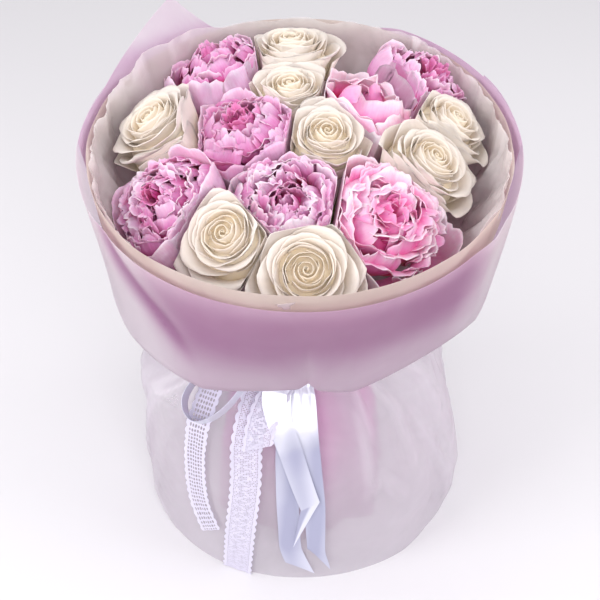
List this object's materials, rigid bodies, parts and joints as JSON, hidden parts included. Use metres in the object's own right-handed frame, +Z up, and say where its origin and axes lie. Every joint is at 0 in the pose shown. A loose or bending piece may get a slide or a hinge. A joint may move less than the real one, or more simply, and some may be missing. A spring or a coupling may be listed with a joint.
{
  "type": "bunch of peonies",
  "caption": "Hand-tied bunch of double peonies and white roses in a matte film collar with a frosted film skirt and satin and lace ribbons, standing on its cut stems.",
  "frame": {"origin": "centre of the middle stem's cut foot, on the surface that the bunch stands on", "axes": "+Z up along the middle stem, -Y towards the front, where the ribbons hang and the collar's rim is lowest"},
  "size_m": [0.418, 0.4081, 0.5265],
  "materials": {
    "mauve_petal": "soft petal, mauve with magenta folds and paler rims",
    "pink_petal": "soft petal, clear pink with paler rims",
    "ivory_petal": "soft petal, ivory white, cream in the heart",
    "stem": "fresh green stem",
    "twine": "twisted natural twine",
    "lilac_film": "matte translucent film, lilac pink",
    "cream_film": "matte translucent film, cream",
    "clear_film": "clear crinkled film, glossy",
    "frosted_film": "frosted translucent film, white",
    "pink_paper": "matte translucent paper, lilac pink",
    "satin": "satin ribbon, silvery lavender white",
    "lace": "open white lace"
  },
  "bodies": {
    "root": {"binding_twine": "twine", "clear_film": "clear_film", "collar_back_sheet": "lilac_film", "collar_front_sheet": "lilac_film", "cream_lining": "cream_film", "film_skirt": "frosted_film", "lace_loop": "lace", "lace_tail_1": "lace", "lace_tail_2": "lace", "paper_skirt": "pink_paper", "peony_1": "mauve_petal", "peony_1_stem": "stem", "peony_2": "mauve_petal", "peony_2_stem": "stem", "peony_3": "mauve_petal", "peony_3_stem": "stem", "peony_4": "mauve_petal", "peony_4_stem": "stem", "peony_5": "pink_petal", "peony_5_stem": "stem", "peony_6": "mauve_petal", "peony_6_stem": "stem", "peony_7": "pink_petal", "peony_7_stem": "stem", "rose_1": "ivory_petal", "rose_1_stem": "stem", "rose_2": "ivory_petal", "rose_2_stem": "stem", "rose_3": "ivory_petal", "rose_3_stem": "stem", "rose_4": "ivory_petal", "rose_4_stem": "stem", "rose_5": "ivory_petal", "rose_5_stem": "stem", "rose_6": "ivory_petal", "rose_6_stem": "stem", "rose_7": "ivory_petal", "rose_7_stem": "stem", "rose_8": "ivory_petal", "rose_8_stem": "stem", "satin_band": "satin", "satin_knot": "satin", "satin_loop": "satin", "satin_tail_1": "satin", "satin_tail_2": "satin", "satin_tail_3": "satin"}
  },
  "joints": []
}
